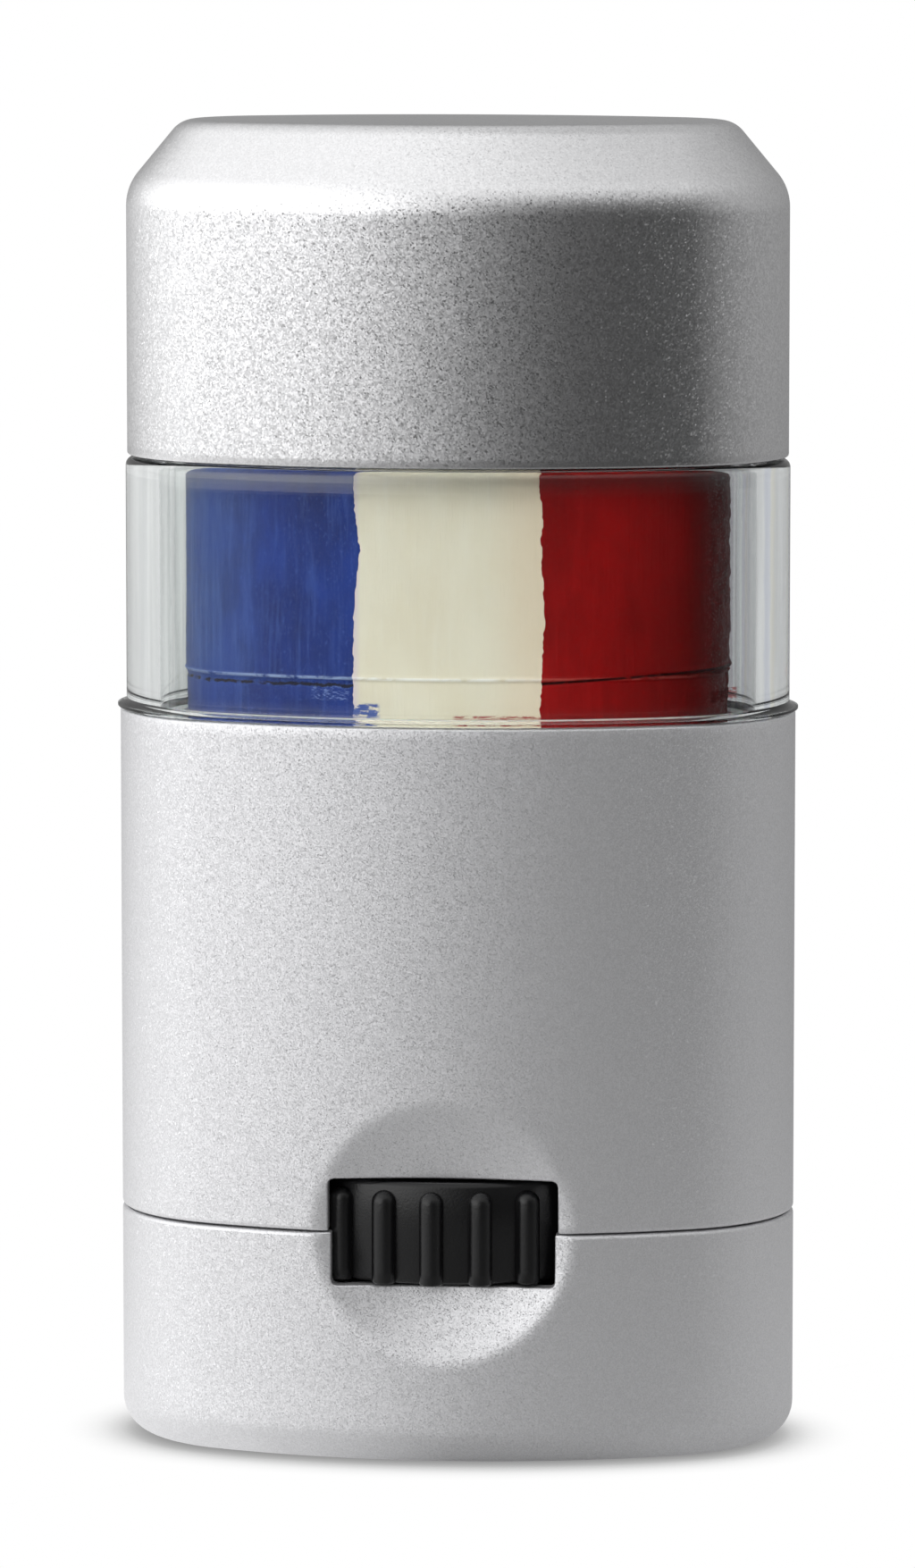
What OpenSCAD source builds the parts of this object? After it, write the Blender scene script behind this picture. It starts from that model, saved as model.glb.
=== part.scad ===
// Push-up body paint stick in a flat oval case with a side wheel and a lift-off cap.
// The oval has four arcs: two tight ends and two broad faces. Their centres lie on a 5-12-13
// triangle, so the arcs meet exactly. Every wall inside the case is an inset of that one oval,
// and heights run up from the table at z = 0.

/* [Case] */
// Width of the case, across its rounded ends
case_width = 33.5; // [31:0.5:38]
// Depth of the case, front to back
case_depth = 19; // [18:0.25:22]
// Height of the case, from the table to its rim
case_height = 36.4; // [34:0.2:42]
// Height of the seam between base cover and sleeve
seam_height = 11.5; // [11:0.1:13]
// Wall of the sleeve and of the base cover
case_wall = 1; // [0.8:0.05:1.2]
// Thickness of the base cover's floor
floor_thickness = 1.2; // [1:0.1:2]
// Radius of the rounding under the base
foot_radius = 2; // [1.2:0.1:2.6]
// Width of the dark seam line
seam_gap = 0.08; // [0.04:0.02:0.16]
// Small chamfer on the shells' outer edges
edge_break = 0.12; // [0.05:0.01:0.2]

/* [Window and dish] */
// Width of the wheel's window
window_width = 11.3; // [10:0.1:12]
// How much narrower each side of the window is in the base cover
window_step = 0.15; // [0:0.05:0.3]
// Radius of the window's corners
window_corner = 0.3; // [0.15:0.05:0.6]
// Height left free above and below the wheel in its window
window_gap = 0.15; // [0.1:0.05:0.4]
// Width of the round finger dish that holds the window
dish_width = 12.7; // [12.4:0.1:14]
// Depth of the finger dish
dish_depth = 1.3; // [1.1:0.05:1.5]

/* [Thumbwheel] */
// Height of the ribbed rim
wheel_height = 5; // [4.2:0.1:5.6]
// How far the ribs stand out past the case, front and back
wheel_proud = 0.3; // [0.1:0.05:0.6]
// Number of ribs round the wheel
rib_count = 24; // [18:1:28]
// Width of one rib
rib_width = 1.2; // [0.9:0.05:1.4]
// How far a rib stands out of the wheel
rib_height = 0.7; // [0.5:0.05:0.8]
// How far the round top of a rib stays below the wheel's top
rib_drop = 0.4; // [0.2:0.05:0.8]
// Angle by which the ribs are turned from the middle of the front
rib_phase = 11.6; // [0:0.1:15]
// Thickness of the wheel's rim
rim_thickness = 1.5; // [1:0.1:2.2]
// Thickness of the web between rim and hub
web_thickness = 1.2; // [0.8:0.1:2]
// Radius of the wheel's hub
hub_radius = 3.2; // [2.8:0.1:4]
// Radius of the pivot pin under the wheel
pivot_radius = 2; // [1.6:0.1:2.4]
// Length of the pivot pin
pivot_length = 6.4; // [5:0.1:7]

/* [Lead screw] */
// Rise of the carrier for one turn of the wheel
screw_pitch = 3; // [2:0.5:4]
// Radius of the round bar that the thread is wound from
screw_bar = 2.2; // [1.8:0.1:2.4]
// How far the bar's centre circles round the axis
screw_throw = 0.4; // [0.25:0.05:0.5]
// Length of thread in the nut
nut_length = 3.2; // [2.4:0.1:4]
// Gap between screw and nut
nut_gap = 0.2; // [0.15:0.05:0.3]

/* [Barrel and carrier] */
// Wall of the inner barrel
barrel_wall = 1; // [0.8:0.1:1.2]
// Thickness of the barrel's floor
barrel_floor = 1.2; // [1:0.1:1.6]
// How far the barrel's rim stays below the case rim
barrel_drop = 0.3; // [0.3:0.05:0.8]
// Height of the ledge in the sleeve that holds the barrel down
ledge_height = 1.2; // [0.8:0.1:2]
// Height of the carrier, from its foot to its plate's top
carrier_height = 8.2; // [7:0.1:9]
// Thickness of the carrier's plate
plate_thickness = 1.2; // [0.8:0.1:1.6]
// Height of the carrier's cup round the foot of the paint
cup_height = 2.4; // [1.5:0.1:4]
// Wall of the carrier's cup
cup_wall = 0.5; // [0.4:0.05:0.7]
// Wall of the carrier's skirt and of its webs
skirt_wall = 0.8; // [0.6:0.1:1]
// Outer radius of the carrier's centre tube
tube_radius = 3.5; // [3.3:0.1:4]
// Way that the carrier can go down from rest
drop_travel = 2; // [1:0.1:2]

/* [Paint] */
// Height of the paint above the case rim, at rest
paint_show = 13.8; // [12:0.1:15]
// Radius of the rounding round the top of the paint
paint_round = 1.6; // [0.8:0.1:2]
// Height of the mould line above the case rim
mould_line = 2.1; // [1.8:0.1:3]
// Height of the small ridge at the mould line
ridge_height = 0.3; // [0.2:0.05:0.5]

/* [Cap] */
// Height of the clear band between case and cap cover
band_height = 12.6; // [11:0.1:14]
// Height of the cap cover
cover_height = 16.5; // [15.5:0.1:20]
// How far the cap's outline stays inside the case's
cap_step = 0.2; // [0.1:0.05:0.4]
// Wall of the cap cover
cover_wall = 1; // [0.8:0.05:1.2]
// Way in of the sloped shoulder, from side to flat top
shoulder_inset = 3.4; // [3:0.1:3.6]
// Angle of the shoulder's slope, from upright
shoulder_angle = 39.6; // [35:0.1:45]
// Radius where the side turns into the slope
knee_radius = 2.6; // [1.6:0.1:3]
// Radius where the slope turns into the top
crown_radius = 1.4; // [1.1:0.1:1.6]
// Wall of the clear hood's neck inside the cover
neck_wall = 1; // [0.8:0.1:1.2]
// Thickness of the clear hood's top
hood_top = 1; // [0.8:0.1:1.4]
// Radius of the clear hood's shoulder under the cover
hood_round = 0.4; // [0.2:0.05:0.6]
// Wall of the clear skirt that plugs into the sleeve
plug_wall = 0.85; // [0.7:0.05:1]
// Length of the clear skirt
plug_length = 5.4; // [4:0.1:8]
// Height of the clear hood's flared foot
foot_height = 0.6; // [0.4:0.05:0.8]
// How far the flared foot stands out past the case
foot_flare = 0.15; // [0:0.05:0.3]

/* [Fits] */
// Gap between the clear skirt and the sleeve
plug_gap = 0.1; // [0.1:0.05:0.2]
// Gap between the clear skirt and the barrel
skirt_gap = 0.15; // [0.1:0.05:0.2]
// Gap between the carrier and the barrel
slide_gap = 0.1; // [0.1:0.05:0.2]
// Gap between the paint and the barrel
paint_gap = 0.15; // [0.15:0.05:0.3]
// Gap between parts that are pressed or cast together
seat_gap = 0.05; // [0.03:0.01:0.1]
// Gap under the cap cover, and between it and the neck
cover_gap = 0.15; // [0.1:0.05:0.2]
// Gap between the clear hood's foot and the case rim
rim_gap = 0.08; // [0.05:0.01:0.15]
// Gap round the pivot pin and the screw's neck
turn_gap = 0.08; // [0.05:0.01:0.1]
// Gap above and below the wheel's hub
thrust_gap = 0.1; // [0.08:0.01:0.2]
// Gap round the tips of the ribs
rib_gap = 0.25; // [0.2:0.05:0.4]

/* [Hidden] */
$fn = 96;
arc_steps = 6;
cut = 0.1;
silver = [0.77, 0.77, 0.78];
black = [0.07, 0.07, 0.075];
natural = [0.9, 0.9, 0.87];
clear = [0.85, 0.9, 0.92, 0.35];
blue = [0.09, 0.16, 0.5];
cream = [0.92, 0.91, 0.8];
red = [0.62, 0.03, 0.03];

// Four-arc oval, with the ends centred at (end_x, 0) and the faces at (0, face_y)
function fine(x) = round(x * 10000) / 10000;
half_depth = case_depth / 2;
oval_unit = fine((case_width / 2 - half_depth) / 4);
half_width = half_depth + 4 * oval_unit;
end_radius = half_depth - oval_unit;
end_x = 5 * oval_unit;
face_y = 12 * oval_unit;
face_radius = 13 * oval_unit + end_radius;
joint_angle = atan2(12, 5);
deep = half_depth + 0.5;

// Insets from the oval, from the outside in
ledge_inset = case_wall + plug_gap + plug_wall - seat_gap;
plug_inset = case_wall + plug_gap;
hood_inset = plug_inset + plug_wall;
barrel_inset = hood_inset + skirt_gap;
bore_inset = barrel_inset + barrel_wall;
carrier_inset = bore_inset + slide_gap;
paint_inset = bore_inset + paint_gap;
neck_inset = cap_step + cover_wall + cover_gap;
neck_bore_inset = neck_inset + neck_wall;

// Heights of the wheel and the screw
wheel_low = seam_height - wheel_height / 2;
wheel_top = seam_height + wheel_height / 2;
rib_reach = half_depth + wheel_proud;
wheel_radius = rib_reach - rib_height;
hub_low = wheel_low - 0.3;
boss_top = hub_low - thrust_gap;
barrel_low = wheel_top + 0.9;
barrel_base = barrel_low + barrel_floor;
hub_top = barrel_low - thrust_gap;
neck_radius = screw_bar + screw_throw - turn_gap;
neck_top = barrel_base + cut;
barrel_rim = case_height - barrel_drop;

// Heights of the carrier, which rides between the barrel's floor and rim
carrier_low = barrel_base + drop_travel + 0.3;
plate_top = carrier_low + carrier_height;
cup_top = plate_top + cup_height;
rise_travel = barrel_rim - plate_top - 0.5;
screw_top = carrier_low + rise_travel + nut_length - 0.6;
tube_bore_top = screw_top + drop_travel + 0.3;
tube_top = tube_bore_top + skirt_wall;

// Heights of the paint
paint_top = case_height + paint_show;
ridge_low = case_height + mould_line - ridge_height / 2;
strip_width = 2 * (half_width - paint_inset) / 3;

// Heights of the cap
split_height = case_height + band_height;
cover_top = split_height + cover_height;
slope_run = shoulder_inset - knee_radius * (1 - cos(shoulder_angle)) - crown_radius * cos(shoulder_angle);
slope_rise = slope_run / tan(shoulder_angle);
knee_height = cover_top - crown_radius * (1 - sin(shoulder_angle)) - slope_rise
              - knee_radius * sin(shoulder_angle);
crown_center = cover_top - crown_radius;
neck_round = 1.2;
neck_top_height = knee_height + neck_round - cut;
hood_shoulder = split_height - cover_gap;

function arc(x, z, r, from, to, steps = arc_steps) =
  [for (i = [0:steps]) let (t = from + (to - from) * i / steps) [x + r * cos(t), z + r * sin(t)]];

// A profile taken round the oval. Its points are [inset from the oval, height], and an inset of
// deep reaches the middle. One quarter is made, with the line where its two arcs meet laid along X,
// and the other three mirror it.
module sweep(points) {
  reach = [2 * case_width, 2 * case_width, cover_top + 2 * cut];
  for (x = [0, 1], y = [0, 1])
    mirror([x, 0, 0])
      mirror([0, y, 0])
        intersection() {
          translate([end_x, 0, 0])
            rotate([0, 0, joint_angle]) {
              intersection() {
                rotate([0, 0, 90])
                  rotate_extrude()
                    polygon([for (p = points) [max(0, fine(end_radius - p[0])), fine(p[1])]]);
                translate([-case_width, -2 * case_width, -cut])
                  cube(reach);
              }
              intersection() {
                translate([end_radius - face_radius, 0, 0])
                  rotate([0, 0, -90])
                    rotate_extrude()
                      polygon([for (p = points) [fine(face_radius - p[0]), fine(p[1])]]);
                translate([-case_width, 0, -cut])
                  cube(reach);
              }
            }
          translate([0, 0, -cut])
            cube(reach);
        }
}

module plate(inset, low, high) {
  sweep([[inset, low], [inset, high], [deep, high], [deep, low]]);
}

// A solid with a swept side: the points run up its outside.
module solid_sweep(points) {
  low = points[0][1];
  high = points[len(points) - 1][1];
  sweep(concat(points, [[deep, high], [deep, low]]));
}

// Barrel-shaped cutter that leaves a dish with a round outline on the curved face.
module dish(skin) {
  half = dish_width / 2;
  face_sag = face_radius - sqrt(face_radius ^ 2 - half ^ 2);
  side_sag = dish_depth - face_sag;
  up_radius = (half ^ 2 + dish_depth ^ 2) / (2 * dish_depth);
  side_radius = (half ^ 2 + side_sag ^ 2) / (2 * side_sag);
  for (turn = [0, 180])
    rotate([0, 0, turn])
      translate([0, dish_depth - half_depth - side_radius, seam_height])
        rotate([0, 0, 72])
          rotate_extrude(angle = 36)
            intersection() {
              translate([side_radius - up_radius, 0])
                circle(r = up_radius + skin);
              translate([side_radius - 6, -dish_width])
                square([12, 2 * dish_width]);
            }
}

module window(width) {
  w = width - 2 * window_corner;
  h = wheel_height + 2 * window_gap - 2 * window_corner;
  translate([0, case_depth, seam_height])
    rotate([90, 0, 0])
      linear_extrude(2 * case_depth) {
        square([width, h], center = true);
        square([w, h + 2 * window_corner], center = true);
        for (x = [-w / 2, w / 2], z = [-h / 2, h / 2])
          translate([x, z])
            circle(r = window_corner);
      }
}

module wheel_space() {
  translate([0, 0, wheel_low - window_gap])
    cylinder(r = rib_reach + rib_gap, h = wheel_height + 2 * window_gap);
}

// One-start round thread: a round bar wound round the axis, right-handed.
module thread(low, high, extra) {
  steps = 16;
  translate([0, 0, low])
    rotate([0, 0, 360 * (low - barrel_base) / screw_pitch])
      linear_extrude(high - low, twist = -360 * (high - low) / screw_pitch,
                     slices = ceil(steps * (high - low) / screw_pitch), $fn = steps)
        translate([screw_throw, 0])
          circle(r = screw_bar + extra, $fn = steps);
}

module base_cover() {
  top = seam_height - seam_gap / 2;
  inner_round = foot_radius - floor_thickness / 2;
  boss_radius = pivot_radius + turn_gap + 1.3;
  color(silver)
    difference() {
      union() {
        sweep(concat(
          [[edge_break, top], [0, top - edge_break]],
          arc(foot_radius, foot_radius, foot_radius, 180, 270),
          [[deep, 0], [deep, floor_thickness]],
          arc(case_wall + inner_round, floor_thickness + inner_round, inner_round, 270, 180),
          [[case_wall, top]]));
        intersection() {
          dish(case_wall);
          plate(case_wall / 2, floor_thickness, top);
        }
        // Collar that enters the sleeve at both ends and carries the barrel's flange
        difference() {
          sweep([[case_wall + seat_gap + 0.8, top - 2], [case_wall - cut, top - 2],
                 [case_wall - cut, top - 0.8], [case_wall + seat_gap, top - 0.6],
                 [case_wall + seat_gap, barrel_low - seat_gap],
                 [case_wall + seat_gap + 0.8, barrel_low - seat_gap]]);
          translate([0, 0, top - 3])
            cylinder(r = rib_reach + rib_gap, h = barrel_low);
        }
        cylinder(r = boss_radius, h = boss_top);
        // Webs that brace the boss against the walls
        for (turn = [0, 90])
          rotate([0, 0, turn])
            translate([0, 0, floor_thickness + 1.4])
              cube([turn == 0 ? case_width - 1.5 * case_wall : case_depth - 1.5 * case_wall, 0.9, 3.2],
                   center = true);
      }
      dish(0);
      window(window_width - 2 * window_step);
      wheel_space();
      translate([0, 0, hub_low - pivot_length - thrust_gap])
        cylinder(r = pivot_radius + turn_gap, h = case_height);
    }
}

module body_shell() {
  low = seam_height + seam_gap / 2;
  ledge_low = barrel_base + seat_gap;
  ledge_top = ledge_low + ledge_height;
  color(silver)
    difference() {
      union() {
        sweep([[case_wall, low], [edge_break, low], [0, low + edge_break],
               [0, case_height - edge_break], [edge_break, case_height],
               [case_wall - edge_break, case_height], [case_wall, case_height - edge_break],
               [case_wall, ledge_top + ledge_inset - case_wall], [ledge_inset, ledge_top],
               [ledge_inset, ledge_low], [case_wall, ledge_low]]);
        intersection() {
          dish(case_wall);
          plate(case_wall / 2, low, seam_height + dish_width / 2 + case_wall);
        }
      }
      dish(0);
      window(window_width);
      wheel_space();
    }
}

module inner_barrel() {
  color(natural)
    difference() {
      union() {
        sweep([[deep, barrel_low], [case_wall + skirt_gap, barrel_low],
               [case_wall + skirt_gap, barrel_base], [barrel_inset, barrel_base],
               [barrel_inset, barrel_rim - edge_break], [barrel_inset + edge_break, barrel_rim],
               [bore_inset - edge_break, barrel_rim], [bore_inset, barrel_rim - edge_break],
               [bore_inset, barrel_base], [deep, barrel_base]]);
      }
      dish(case_wall + seat_gap);
      translate([0, 0, barrel_low - cut])
        cylinder(r = neck_radius + turn_gap, h = barrel_floor + 2 * cut);
    }
}

// A rib is a round bar with a domed top, half sunk in the wheel. Its foot is trimmed level later.
module rib() {
  r = rib_width / 2;
  dome = wheel_height - rib_drop - r;
  translate([rib_reach - r, 0, wheel_low])
    rotate_extrude()
      polygon(concat([[0, -2 * cut], [r, -2 * cut]], arc(0, dome, r, 0, 90, 3)));
}

module thumbwheel() {
  color(black) {
    difference() {
      union() {
        translate([0, 0, wheel_low])
          cylinder(r = wheel_radius, h = wheel_height);
        for (i = [0:rib_count - 1])
          rotate([0, 0, rib_phase - 90 + i * 360 / rib_count])
            rib();
      }
      translate([0, 0, wheel_low - 1])
        cylinder(r = rib_reach + 1, h = 1);
      for (low = [wheel_low - cut, seam_height + web_thickness / 2])
        translate([0, 0, low])
          difference() {
            cylinder(r = wheel_radius - rim_thickness, h = (wheel_height - web_thickness) / 2 + cut);
            translate([0, 0, -cut])
              cylinder(r = hub_radius, h = wheel_height);
          }
    }
    translate([0, 0, hub_low])
      cylinder(r = hub_radius, h = hub_top - hub_low);
    translate([0, 0, hub_low - pivot_length])
      cylinder(r = pivot_radius, h = pivot_length + cut);
    translate([0, 0, hub_top - cut])
      cylinder(r = neck_radius, h = neck_top - hub_top + cut);
    thread(barrel_base, screw_top, 0);
  }
}

module carrier() {
  web_low = carrier_low + 1;
  skirt_inset = carrier_inset + skirt_wall;
  web_length = 2 * (half_width - skirt_inset + skirt_wall / 2);
  web_depth = 2 * (half_depth - skirt_inset + skirt_wall / 2);
  color(natural)
    difference() {
      union() {
        sweep([[skirt_inset, carrier_low], [carrier_inset + edge_break, carrier_low],
               [carrier_inset, carrier_low + edge_break], [carrier_inset, cup_top],
               [carrier_inset + cup_wall, cup_top], [carrier_inset + cup_wall, plate_top],
               [deep, plate_top], [deep, plate_top - plate_thickness],
               [skirt_inset, plate_top - plate_thickness]]);
        translate([0, 0, carrier_low])
          cylinder(r = tube_radius, h = tube_top - carrier_low);
        for (size = [[web_length, skirt_wall], [skirt_wall, web_depth]])
          translate([-size[0] / 2, -size[1] / 2, web_low])
            cube([size[0], size[1], plate_top - plate_thickness / 2 - web_low]);
      }
      translate([0, 0, carrier_low + nut_length])
        cylinder(r = screw_bar + screw_throw + nut_gap + turn_gap,
                 h = tube_bore_top - carrier_low - nut_length);
      thread(carrier_low - cut, carrier_low + nut_length + cut, nut_gap);
    }
}

// The cast block, before it is parted into strips
module paint_block() {
  foot_inset = carrier_inset + cup_wall + seat_gap;
  difference() {
    solid_sweep(concat(
      [[foot_inset, plate_top + seat_gap], [foot_inset, cup_top + seat_gap],
       [paint_inset + seat_gap, cup_top + seat_gap], [paint_inset + seat_gap, ridge_low],
       [paint_inset - seat_gap, ridge_low + ridge_height / 2], [paint_inset, ridge_low + ridge_height]],
      arc(paint_inset + paint_round, paint_top - paint_round, paint_round, 180, 90)));
    cylinder(r = tube_radius + seat_gap, h = tube_top + seat_gap);
  }
}

module strip(i) {
  intersection() {
    paint_block();
    translate([(i - 0.5) * strip_width - (i < 0 ? strip_width : 0), -case_depth, 0])
      cube([strip_width * (i == 0 ? 1 : 2), 2 * case_depth, cover_top]);
  }
}

module paint_blue() {
  color(blue)
    strip(-1);
}

module paint_white() {
  color(cream)
    strip(0);
}

module paint_red() {
  color(red)
    strip(1);
}

module clear_hood() {
  plug_low = case_height - plug_length;
  foot_low = case_height + rim_gap;
  flare = cap_step + foot_flare;
  fillet = foot_height - 0.15;
  inner_round = neck_round / 2;
  roof = neck_top_height - hood_top;
  color(clear) {
    sweep(concat(
      [[hood_inset, plug_low], [plug_inset + edge_break, plug_low], [plug_inset, plug_low + edge_break],
       [plug_inset, foot_low], [-foot_flare, foot_low], [-foot_flare, foot_low + 0.15]],
      [for (i = [1:arc_steps]) let (t = 90 * i / arc_steps)
        [cap_step - flare * (1 - sin(t)), foot_low + 0.15 + fillet * (1 - cos(t))]],
      arc(cap_step + hood_round, hood_shoulder - hood_round, hood_round, 180, 90),
      [[neck_inset, hood_shoulder]],
      arc(neck_inset + neck_round, neck_top_height - neck_round, neck_round, 180, 90),
      [[deep, neck_top_height], [deep, roof]],
      arc(neck_bore_inset + inner_round, roof - inner_round, inner_round, 90, 180),
      [[neck_bore_inset, hood_shoulder + 1], [hood_inset, hood_shoulder - 0.6]]));
  }
}

module cap_cover() {
  knee_x = cap_step + knee_radius;
  crown_x = cap_step + shoulder_inset;
  color(silver) {
    sweep(concat(
      [[cap_step + edge_break, split_height], [cap_step, split_height + edge_break]],
      arc(knee_x, knee_height, knee_radius, 180, 180 - shoulder_angle),
      arc(crown_x, crown_center, crown_radius, 180 - shoulder_angle, 90),
      [[deep, cover_top], [deep, cover_top - cover_wall]],
      arc(crown_x, crown_center, crown_radius - cover_wall, 90, 180 - shoulder_angle),
      arc(knee_x, knee_height, knee_radius - cover_wall, 180 - shoulder_angle, 180),
      [[cap_step + cover_wall, split_height]]));
  }
}

base_cover();
body_shell();
inner_barrel();
thumbwheel();
carrier();
paint_blue();
paint_white();
paint_red();
clear_hood();
cap_cover();
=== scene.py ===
import bpy
import bmesh
import math
from mathutils import Matrix, Vector, noise


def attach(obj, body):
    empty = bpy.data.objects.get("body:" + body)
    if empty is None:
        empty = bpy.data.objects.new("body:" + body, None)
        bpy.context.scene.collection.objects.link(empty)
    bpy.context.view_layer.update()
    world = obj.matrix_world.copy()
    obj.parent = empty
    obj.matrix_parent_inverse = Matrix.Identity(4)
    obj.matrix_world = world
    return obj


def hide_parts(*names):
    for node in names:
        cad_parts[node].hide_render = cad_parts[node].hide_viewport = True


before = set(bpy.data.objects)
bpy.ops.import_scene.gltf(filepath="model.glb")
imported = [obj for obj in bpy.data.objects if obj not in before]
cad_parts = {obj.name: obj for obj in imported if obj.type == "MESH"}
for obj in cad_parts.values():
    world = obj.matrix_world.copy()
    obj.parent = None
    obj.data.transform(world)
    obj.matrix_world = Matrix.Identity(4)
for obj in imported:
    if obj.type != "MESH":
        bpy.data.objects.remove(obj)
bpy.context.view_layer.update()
scene = bpy.context.scene
mm = 0.001
print("frame loaded:", ", ".join(sorted(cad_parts)))

# ---------------------------------------------------------------- camera
shot = {
    "distance": 430, "height": 85.0,      # mm from the stick's axis, and above the table
    "yaw": 4.7, "pitch": -6.95, "roll": 0.0,
    "lens": 200.4,
}
yaw = math.radians(shot["yaw"])
cameraData = bpy.data.cameras.new("camera")
cameraData.lens = shot["lens"]
cameraData.sensor_width = 36
cameraData.clip_start, cameraData.clip_end = 0.01, 20
camera = bpy.data.objects.new("camera", cameraData)
camera.location = Vector((shot["distance"] * math.sin(yaw), -shot["distance"] * math.cos(yaw), shot["height"])) * mm
turn = Matrix.Rotation(yaw, 4, "Z") @ Matrix.Rotation(math.radians(90 + shot["pitch"]), 4, "X")
turn = turn @ Matrix.Rotation(math.radians(shot["roll"]), 4, "Z")
camera.rotation_euler = turn.to_euler()
scene.collection.objects.link(camera)
scene.camera = camera
scene.view_settings.view_transform = "Standard"


# ---------------------------------------------------------------- node helpers
def addNode(tree, kind, inputs=None, **settings):
    made = tree.nodes.new(kind)
    for key, value in settings.items():
        setattr(made, key, value)
    for key, value in (inputs or {}).items():
        if hasattr(value, "links"):
            tree.links.new(value, made.inputs[key])
        else:
            made.inputs[key].default_value = value
    return made


def mathNode(tree, operation, a, b=0.0, clamp=False):
    return addNode(tree, "ShaderNodeMath", {0: a, 1: b}, operation=operation, use_clamp=clamp).outputs[0]


def vectorNode(tree, operation, a, b=(0, 0, 0), scale=None):
    made = addNode(tree, "ShaderNodeVectorMath", {0: a, 1: b}, operation=operation)
    if scale is not None:
        made.inputs["Scale"].default_value = scale
    return made.outputs[0]


def mixColor(tree, factor, a, b, blend="MIX"):
    made = addNode(tree, "ShaderNodeMix", data_type="RGBA", blend_type=blend)
    for key, value in ((0, factor), (6, a), (7, b)):
        if hasattr(value, "links"):
            tree.links.new(value, made.inputs[key])
        else:
            made.inputs[key].default_value = value if key == 0 else (*value, 1)
    return made.outputs[2]


def ramp(tree, factor, stops, interpolation="LINEAR"):
    made = addNode(tree, "ShaderNodeValToRGB", {0: factor})
    made.color_ramp.interpolation = interpolation
    while len(made.color_ramp.elements) < len(stops):
        made.color_ramp.elements.new(0.5)
    for element, (place, value) in zip(made.color_ramp.elements, stops):
        element.position = place
        element.color = (value, value, value, 1) if not hasattr(value, "__len__") else (*value, 1)
    return made.outputs[0]


def mapRange(tree, value, low, high, toLow=0.0, toHigh=1.0, smooth=False):
    return addNode(tree, "ShaderNodeMapRange", {0: value, 1: low, 2: high, 3: toLow, 4: toHigh},
                   interpolation_type="SMOOTHSTEP" if smooth else "LINEAR").outputs[0]


def newMaterial(name, **values):
    made = bpy.data.materials.new(name)
    made.use_nodes = True
    tree = made.node_tree
    tree.nodes.clear()
    surface = addNode(tree, "ShaderNodeBsdfPrincipled")
    for key, value in values.items():
        surface.inputs[key.replace("_", " ")].default_value = value
    output = addNode(tree, "ShaderNodeOutputMaterial", {0: surface.outputs[0]})
    places = addNode(tree, "ShaderNodeTexCoord").outputs["Object"]
    inMm = vectorNode(tree, "SCALE", places, scale=1000)
    return made, tree, surface, output, inMm


def noiseNode(tree, places, size, detail=2.0, rough=0.5, stretch=(1, 1, 1)):
    scaled = vectorNode(tree, "MULTIPLY", places, tuple(s / size for s in stretch))
    return addNode(tree, "ShaderNodeTexNoise", {"Vector": scaled, "Scale": 1.0, "Detail": detail, "Roughness": rough})


# ---------------------------------------------------------------- light and stage
studio = {
    # brightness seen in each direction round the stick, by degrees to the right of the camera
    "level": [(-180, 0.22), (-160, 0.35), (-140, 0.65), (-115, 1.25), (-85, 1.95), (-60, 2.35), (-40, 2.3), (-24, 1.8), (-10, 0.65),
              (4, 0.13), (18, 0.08), (34, 0.08), (50, 0.28), (77, 0.5), (110, 0.42), (140, 0.38), (180, 0.28)],
    "above": [(-180, 0.7), (-60, 1.35), (-20, 1.1), (20, 0.92), (60, 0.75), (110, 0.5), (180, 0.55)],
    "diffuse": [(-180, 0.9), (-70, 1.45), (-20, 1.25), (30, 0.85), (80, 0.5), (180, 0.75)],
    "floor": [(-180, 0.3), (-140, 0.8), (-110, 1.1), (-80, 1.05), (-60, 0.9), (-45, 0.7), (-30, 0.5), (-14, 0.28), (0, 0.1),
              (17, 0.05), (34, 0.04), (50, 0.1), (80, 0.3), (110, 0.35), (140, 0.35), (180, 0.3)],
    "farFloor": [(-180, 0.25), (-140, 0.5), (-100, 0.6), (-60, 0.42), (-45, 0.3), (-30, 0.2), (-14, 0.12), (0, 0.06),
                 (17, 0.01), (34, 0.01), (50, 0.04), (80, 0.2), (110, 0.3), (140, 0.3), (180, 0.25)],
    "darkBand": (250, 330, 560, 640),   # mm from the stick: a darker strip of the table that the clear hood mirrors
    "nearFloor": [(-180, 0.0), (-40, 0.0), (0, 0.2), (40, 0.26), (180, 0.1)], "shadowReach": 3.4, "hoodGain": 3.1,
}
world = bpy.data.worlds.new("studio")
scene.world = world
world.use_nodes = True
sky = world.node_tree
sky.nodes.clear()
toward = addNode(sky, "ShaderNodeTexCoord").outputs["Generated"]
parts = addNode(sky, "ShaderNodeSeparateXYZ", {0: toward})
turned = mathNode(sky, "ARCTAN2", parts.outputs[0], mathNode(sky, "MULTIPLY", parts.outputs[1], -1.0))
share = mapRange(sky, mathNode(sky, "SUBTRACT", turned, yaw), -math.pi, math.pi)


def brightness(stops):
    return ramp(sky, share, [((a + 180) / 360, v / 3) for a, v in stops], "B_SPLINE")


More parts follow.
